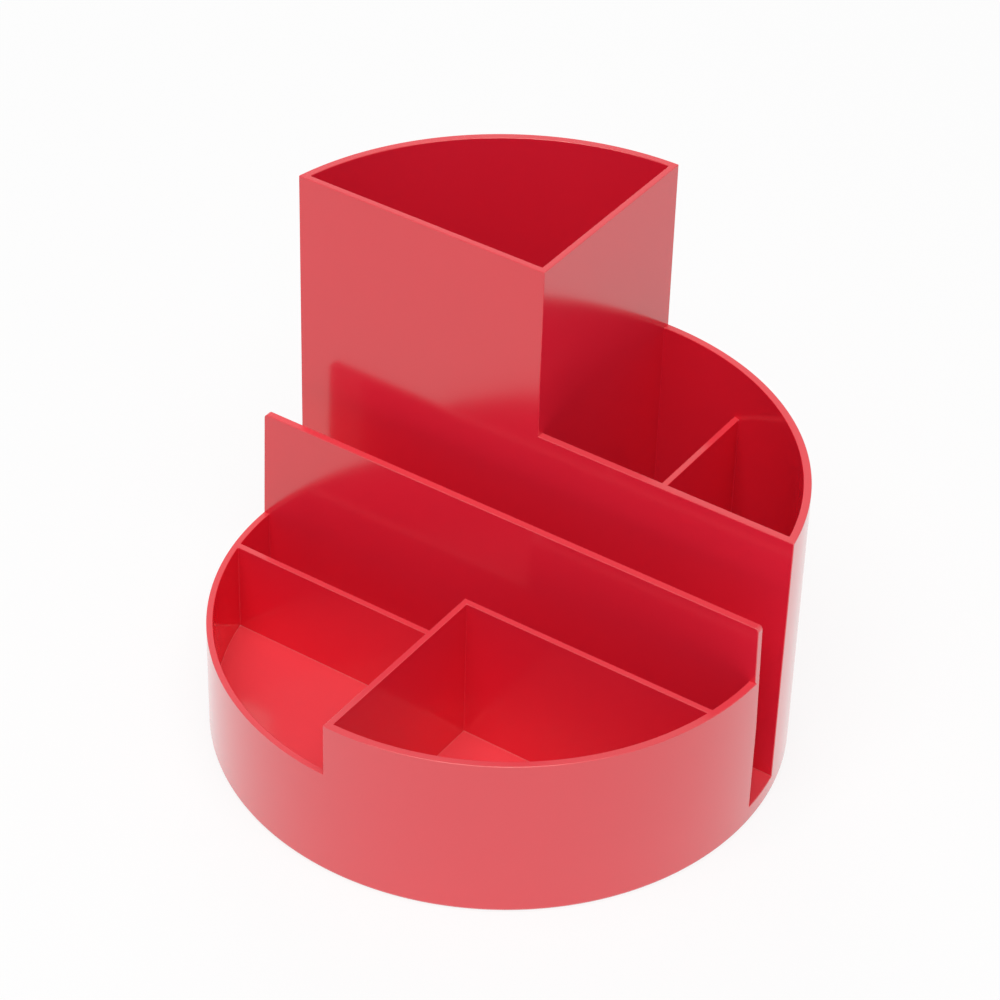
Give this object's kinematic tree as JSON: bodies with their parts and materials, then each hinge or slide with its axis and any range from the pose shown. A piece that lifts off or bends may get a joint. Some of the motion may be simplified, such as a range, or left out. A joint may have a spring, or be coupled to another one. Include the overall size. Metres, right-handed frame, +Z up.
{
  "type": "pen holder",
  "caption": "Round red plastic desk organiser: a tall pen cup, bins and trays whose rims step down round a drum, and a straight open-ended slot for paper notes.",
  "frame": {"origin": "centre of the drum at the level of the surface it stands on", "axes": "+Z up along the drum's axis; X along the paper slot; -Y to the front, where the clip tray and the front bin are; the pen cup is at -X, +Y"},
  "size_m": [0.14, 0.14, 0.12],
  "materials": {
    "red_plastic": "moulded gloss, self-coloured red"
  },
  "bodies": {
    "root": {"foot_ring": "red_plastic", "floor_plate": "red_plastic", "pen_cup_front": "red_plastic", "pen_cup_side": "red_plastic", "pen_cup_back": "red_plastic", "slot_rear_panel": "red_plastic", "rear_bin_rim": "red_plastic", "rear_bin_divider": "red_plastic", "slot_front_panel": "red_plastic", "long_tray_left_rim": "red_plastic", "long_tray_right_rim": "red_plastic", "clip_tray_back": "red_plastic", "clip_tray_rim": "red_plastic", "front_bin_back": "red_plastic", "front_bin_side": "red_plastic", "front_bin_rim": "red_plastic"}
  },
  "joints": []
}
